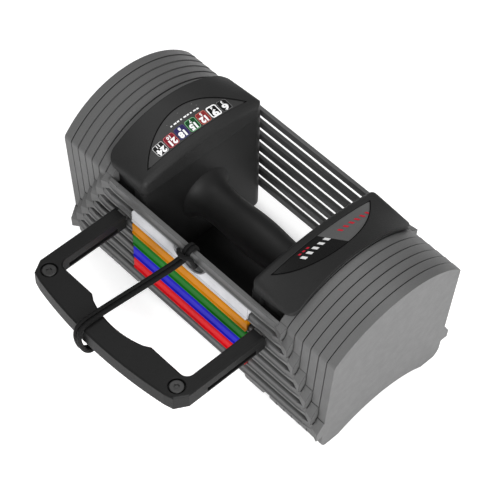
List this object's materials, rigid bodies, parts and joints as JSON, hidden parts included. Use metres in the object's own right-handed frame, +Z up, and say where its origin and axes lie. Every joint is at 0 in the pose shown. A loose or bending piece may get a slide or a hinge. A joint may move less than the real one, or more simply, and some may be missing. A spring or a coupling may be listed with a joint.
{
  "type": "adjustable dumbbell",
  "caption": "Block dumbbell of nested plate-and-rail weights round a moulded core with a central grip, a forked selector pin in front and an elastic lanyard.",
  "frame": {"origin": "middle of the bounding box on the floor, selector pin included", "axes": "+Z up, X along the grip, -Y the side the selector pin goes in from"},
  "size_m": [0.2728, 0.221, 0.1375],
  "materials": {
    "band_blue": "smooth moulded plastic",
    "band_green": "smooth moulded plastic",
    "band_orange": "smooth moulded plastic",
    "band_red": "smooth moulded plastic",
    "band_white": "smooth moulded plastic",
    "bridge_plastic": "fine moulded texture",
    "chip_1": "printed film",
    "chip_2": "printed film",
    "chip_3": "printed film",
    "chip_4": "printed film",
    "chip_5": "printed film",
    "chip_6": "printed film",
    "chip_7": "printed film",
    "cord_black": "braided elastic",
    "core_block": "fine moulded texture",
    "core_cover": "fine moulded texture",
    "grip_rubber": "soft moulded rubber",
    "insert_black": "smooth printed film",
    "insert_grey": "smooth printed film",
    "label_black": "smooth printed film",
    "pin_plastic": "fine moulded texture",
    "plate_coat": "satin powder coat",
    "prong_steel": "dark steel bar",
    "rail_coat": "satin powder coat",
    "screw_black": "black screw",
    "tube_steel": "drawn tube"
  },
  "bodies": {
    "weight7": {"weight7_front_rail": "rail_coat", "weight7_left_plate": "plate_coat", "weight7_rear_rail": "rail_coat", "weight7_right_plate": "plate_coat"},
    "weight6": {"weight6_front_rail": "rail_coat", "weight6_left_plate": "plate_coat", "weight6_rear_rail": "rail_coat", "weight6_red_band": "band_red", "weight6_right_plate": "plate_coat"},
    "weight5": {"weight5_blue_band": "band_blue", "weight5_front_rail": "rail_coat", "weight5_left_plate": "plate_coat", "weight5_rear_rail": "rail_coat", "weight5_right_plate": "plate_coat"},
    "weight4": {"weight4_front_rail": "rail_coat", "weight4_green_band": "band_green", "weight4_left_plate": "plate_coat", "weight4_rear_rail": "rail_coat", "weight4_right_plate": "plate_coat"},
    "weight3": {"weight3_front_rail": "rail_coat", "weight3_left_plate": "plate_coat", "weight3_orange_band": "band_orange", "weight3_rear_rail": "rail_coat", "weight3_right_plate": "plate_coat"},
    "selected_set": {"bridge_panel": "bridge_plastic", "core_left_cover": "core_cover", "core_left_end": "core_block", "core_right_cover": "core_cover", "core_right_end": "core_block", "grip_sleeve": "grip_rubber", "grip_tube": "tube_steel", "lanyard": "cord_black", "left_label_panel": "label_black", "number_chip_1": "chip_1", "number_chip_2": "chip_2", "number_chip_3": "chip_3", "number_chip_4": "chip_4", "number_chip_5": "chip_5", "number_chip_6": "chip_6", "number_chip_7": "chip_7", "right_insert_back": "insert_grey", "right_insert_front": "insert_black", "weight1_front_rail": "rail_coat", "weight1_left_plate": "plate_coat", "weight1_rear_rail": "rail_coat", "weight1_right_plate": "plate_coat", "weight2_front_rail": "rail_coat", "weight2_left_plate": "plate_coat", "weight2_rear_rail": "rail_coat", "weight2_right_plate": "plate_coat", "weight2_white_band": "band_white"},
    "selector_pin": {"pin_fork": "pin_plastic", "pin_left_prong": "prong_steel", "pin_right_prong": "prong_steel", "pin_screws": "screw_black"}
  },
  "joints": [
    {"name": "weight6_lift", "type": "slide", "parent": "weight7", "child": "weight6", "axis": [0, 0, 1], "range_m": [0, 0.14]},
    {"name": "weight5_lift", "type": "slide", "parent": "weight6", "child": "weight5", "axis": [0, 0, 1], "range_m": [0, 0.14]},
    {"name": "weight4_lift", "type": "slide", "parent": "weight5", "child": "weight4", "axis": [0, 0, 1], "range_m": [0, 0.14]},
    {"name": "weight3_lift", "type": "slide", "parent": "weight4", "child": "weight3", "axis": [0, 0, 1], "range_m": [0, 0.14]},
    {"name": "selected_set_lift", "type": "slide", "parent": "weight3", "child": "selected_set", "axis": [0, 0, 1], "range_m": [0, 0.14]},
    {"name": "pin_slide", "type": "slide", "parent": "selected_set", "child": "selector_pin", "axis": [0, -1, 0], "range_m": [0, 0.136], "stiffness_N_per_m": 40, "springref_m": -0.02, "deforming": ["lanyard"]}
  ]
}
